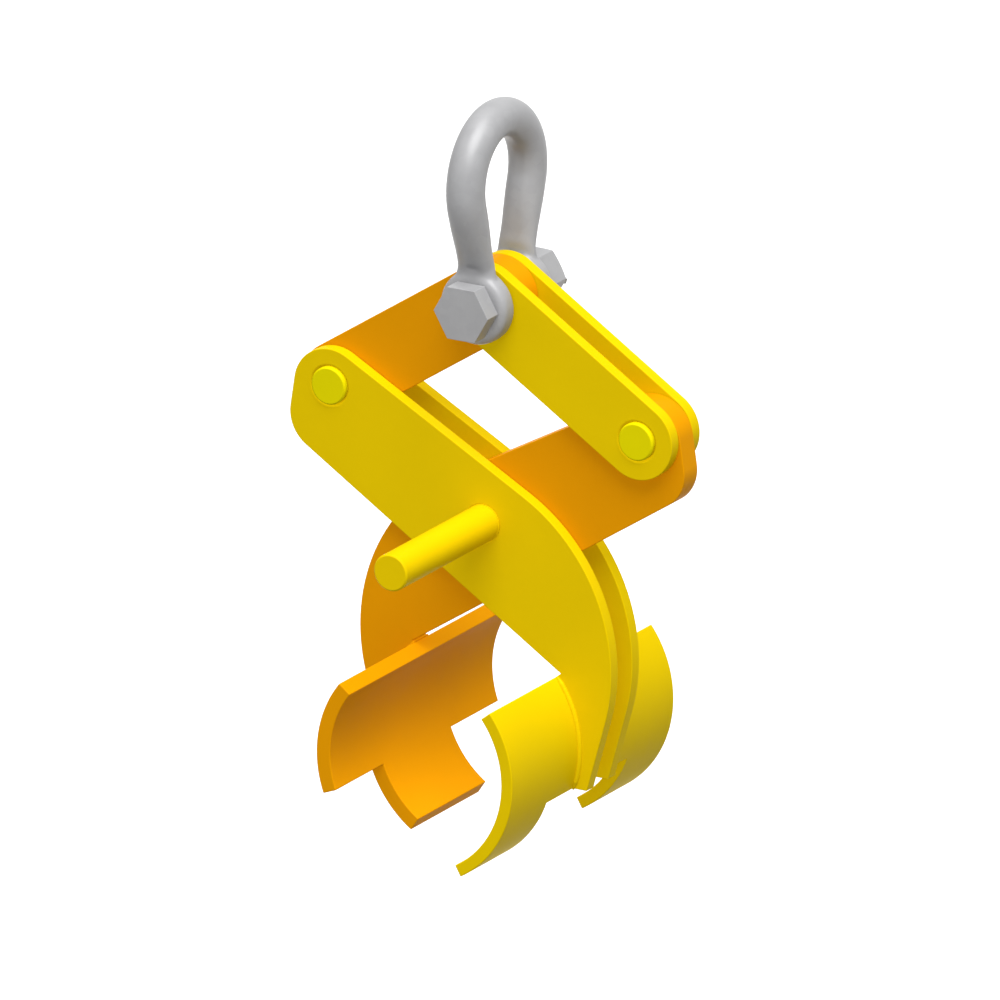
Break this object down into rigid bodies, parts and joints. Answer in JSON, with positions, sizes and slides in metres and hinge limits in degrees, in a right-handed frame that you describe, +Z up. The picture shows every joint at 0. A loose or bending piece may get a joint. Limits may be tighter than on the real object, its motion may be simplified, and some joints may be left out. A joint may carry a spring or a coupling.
{
  "type": "lifting tongs",
  "caption": "Scissor lifting tongs for round bars: a rhombus of flat links hangs from a bow shackle and closes two curved, interlocking jaw shells, with a guide handle.",
  "frame": {"origin": "the seat of the crane hook, under the crown of the shackle's bow", "axes": "+Z up along the line of hanging, every pin along Y, the guide handle towards -Y, the opening of the jaws across X"},
  "size_m": [0.2262, 0.1878, 0.3849],
  "materials": {
    "yellow_paint": "satin",
    "orange_paint": "satin",
    "galvanised": "satin",
    "bronze": "satin"
  },
  "bodies": {
    "shackle": {"shackle_bow": "galvanised"},
    "bolt": {"shackle_bolt": "galvanised", "shackle_nut": "galvanised", "shackle_split_pin": "galvanised"},
    "link_left": {"link_left": "orange_paint", "link_left_bolt_bush": "bronze", "link_left_pin_bush": "bronze"},
    "link_right": {"link_right_front": "yellow_paint", "link_right_back": "yellow_paint", "link_right_bolt_bushes": "bronze", "link_right_pin": "yellow_paint"},
    "arm_left": {"arm_left_plate": "orange_paint", "arm_left_pin_bush": "bronze", "arm_left_pivot_bush": "bronze", "arm_left_welds": "orange_paint", "jaw_left": "orange_paint"},
    "arm_right": {"arm_right_front": "yellow_paint", "arm_right_back": "yellow_paint", "arm_right_pin": "yellow_paint", "arm_right_welds": "yellow_paint", "jaw_right": "yellow_paint", "pivot_pin_and_handle": "yellow_paint"}
  },
  "joints": [
    {"name": "swing", "type": "hinge", "parent": "shackle", "child": "bolt", "pos_m": [0, 0, -0.084], "axis": [0, -1, 0], "range_deg": [-20, 20]},
    {"name": "fold", "type": "hinge", "parent": "bolt", "child": "link_left", "pos_m": [0, 0, -0.084], "axis": [0, -1, 0], "range_deg": [-18, 15]},
    {"name": "fold_right", "type": "hinge", "parent": "bolt", "child": "link_right", "pos_m": [0, 0, -0.084], "axis": [0, -1, 0], "range_deg": [-15, 18]},
    {"name": "pin_left", "type": "hinge", "parent": "link_left", "child": "arm_right", "pos_m": [-0.08974, 0, -0.14228], "axis": [0, -1, 0], "range_deg": [-30, 36]},
    {"name": "pin_right", "type": "hinge", "parent": "link_right", "child": "arm_left", "pos_m": [0.08974, 0, -0.14228], "axis": [0, -1, 0], "range_deg": [-36, 30]}
  ],
  "couplings": [
    {"joint": "fold_right", "follows": "fold", "ratio": -1},
    {"joint": "pin_left", "follows": "fold", "ratio": -2},
    {"joint": "pin_right", "follows": "fold", "ratio": 2}
  ]
}
